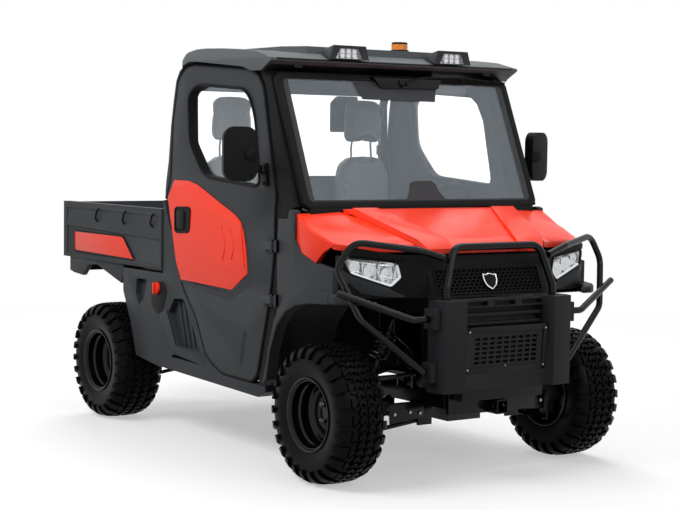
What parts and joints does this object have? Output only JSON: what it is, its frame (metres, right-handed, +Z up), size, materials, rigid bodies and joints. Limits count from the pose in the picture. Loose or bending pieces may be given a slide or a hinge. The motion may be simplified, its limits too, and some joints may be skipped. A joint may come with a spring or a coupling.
{
  "type": "side-by-side utility vehicle",
  "caption": "Closed-cab side-by-side utility vehicle with steered front wheels, hinged doors, lifting hood and a tipping cargo bed with tailgate.",
  "frame": {"origin": "on the ground, under the middle of the vehicle's length and width", "axes": "+X the vehicle's left, -Y forwards, +Z up"},
  "size_m": [1.924, 3.04, 2.0121],
  "materials": {
    "red_panel": "gloss moulded-in red",
    "grey_panel": "fine-grained dark grey moulding",
    "black_trim": "black moulding",
    "black_steel": "satin black powder coat",
    "wheel_steel": "gloss black enamel",
    "tyre": "rubber",
    "glass": "clear laminated",
    "lamp": "clear lens over chrome",
    "amber": "amber lens",
    "seat": "grey vinyl",
    "cast_metal": "as cast, painted",
    "chrome_rod": "hard chrome",
    "tail_red": "red lens"
  },
  "bodies": {
    "root": {"frame_rails": "black_steel", "frame_brackets": "black_steel", "receivers": "black_steel", "engine_block": "cast_metal", "suspension_arms": "black_steel", "drive_axles": "cast_metal", "shocks": "black_steel", "rear_knuckles": "cast_metal", "cab_tub": "black_trim", "cowl_panel": "black_trim", "door_hinges": "black_steel", "rear_wall": "grey_panel", "rear_pillars": "grey_panel", "front_pillars": "black_trim", "windshield_frame": "black_trim", "cab_glass": "glass", "roof_panel": "grey_panel", "roof_rails": "black_steel", "roof_lamps": "black_trim", "beacon": "amber", "dash": "black_trim", "seat_cushions": "seat", "seat_backs": "seat", "red_fenders": "red_panel", "front_cowls": "grey_panel", "wheel_liners": "black_trim", "front_fascia": "black_trim", "headlamps": "lamp", "bumper": "grey_panel", "grilles": "black_trim", "brush_guard": "black_steel", "side_panels": "grey_panel", "fuel_cap": "red_panel"},
    "knuckle_left": {"knuckle_left": "cast_metal"},
    "wheel_front_left": {"tyre_front_left": "tyre", "rim_front_left": "wheel_steel"},
    "wheel_rear_left": {"tyre_rear_left": "tyre", "rim_rear_left": "wheel_steel"},
    "door_left": {"door_shell_left": "grey_panel", "door_cover_left": "red_panel", "door_glass_left": "glass", "mirror_left": "black_trim"},
    "knuckle_right": {"knuckle_right": "cast_metal"},
    "wheel_front_right": {"tyre_front_right": "tyre", "rim_front_right": "wheel_steel"},
    "wheel_rear_right": {"tyre_rear_right": "tyre", "rim_rear_right": "wheel_steel"},
    "door_right": {"door_shell_right": "grey_panel", "door_cover_right": "red_panel", "door_glass_right": "glass", "mirror_right": "black_trim"},
    "hood": {"hood": "red_panel"},
    "steering_wheel": {"steering_wheel": "black_trim"},
    "bed": {"bed_tray": "grey_panel", "bed_badges": "red_panel", "mudguards": "grey_panel", "tail_lamps": "tail_red"},
    "tailgate": {"tailgate": "grey_panel"},
    "lift_barrel": {"lift_barrel": "black_steel"},
    "lift_rod": {"lift_rod": "chrome_rod"}
  },
  "joints": [
    {"name": "steer_left", "type": "hinge", "parent": "root", "child": "knuckle_left", "pos_m": [0.6, -1.09, 0.31], "axis": [0, 0, 1], "range_deg": [-28, 28]},
    {"name": "steer_right", "type": "hinge", "parent": "root", "child": "knuckle_right", "pos_m": [-0.6, -1.09, 0.31], "axis": [0, 0, 1], "range_deg": [-28, 28]},
    {"name": "steering_wheel_turn", "type": "hinge", "parent": "root", "child": "steering_wheel", "pos_m": [0.385, -0.5, 1.16], "axis": [0, 0.8192, 0.5736], "range_deg": [-336, 336]},
    {"name": "spin_front_left", "type": "hinge", "parent": "knuckle_left", "child": "wheel_front_left", "pos_m": [0.679, -1.09, 0.31], "axis": [1, 0, 0], "continuous": true},
    {"name": "spin_front_right", "type": "hinge", "parent": "knuckle_right", "child": "wheel_front_right", "pos_m": [-0.679, -1.09, 0.31], "axis": [1, 0, 0], "continuous": true},
    {"name": "spin_rear_left", "type": "hinge", "parent": "root", "child": "wheel_rear_left", "pos_m": [0.67, 0.974, 0.31], "axis": [1, 0, 0], "continuous": true},
    {"name": "spin_rear_right", "type": "hinge", "parent": "root", "child": "wheel_rear_right", "pos_m": [-0.67, 0.974, 0.31], "axis": [1, 0, 0], "continuous": true},
    {"name": "door_left_swing", "type": "hinge", "parent": "root", "child": "door_left", "pos_m": [0.745, -0.718, 0.903], "axis": [0, 0, -1], "range_deg": [0, 70]},
    {"name": "door_right_swing", "type": "hinge", "parent": "root", "child": "door_right", "pos_m": [-0.745, -0.718, 0.903], "axis": [0, 0, 1], "range_deg": [0, 70]},
    {"name": "hood_lift", "type": "hinge", "parent": "root", "child": "hood", "pos_m": [0, -0.904, 1.19], "axis": [-1, 0, 0], "range_deg": [0, 50]},
    {"name": "bed_tilt", "type": "hinge", "parent": "root", "child": "bed", "pos_m": [0, 1.35, 0.812], "axis": [-1, 0, 0], "range_deg": [0, 40]},
    {"name": "tailgate_drop", "type": "hinge", "parent": "bed", "child": "tailgate", "pos_m": [0, 1.503, 0.868], "axis": [-1, 0, 0], "range_deg": [0, 90]},
    {"name": "lift_swing", "type": "hinge", "parent": "root", "child": "lift_barrel", "pos_m": [0.152, 1.124, 0.432], "axis": [-1, 0, 0], "range_deg": [0, 21.8]},
    {"name": "lift_extend", "type": "slide", "parent": "lift_barrel", "child": "lift_rod", "axis": [0, -0.5238, 0.8518], "range_m": [0, 0.243]}
  ],
  "couplings": [
    {"joint": "steer_right", "follows": "steer_left", "ratio": 1},
    {"joint": "steering_wheel_turn", "follows": "steer_left", "ratio": 12},
    {"joint": "lift_swing", "follows": "bed_tilt", "ratio": 0.5205},
    {"joint": "lift_extend", "follows": "bed_tilt", "m_per_rad": 0.34584}
  ]
}
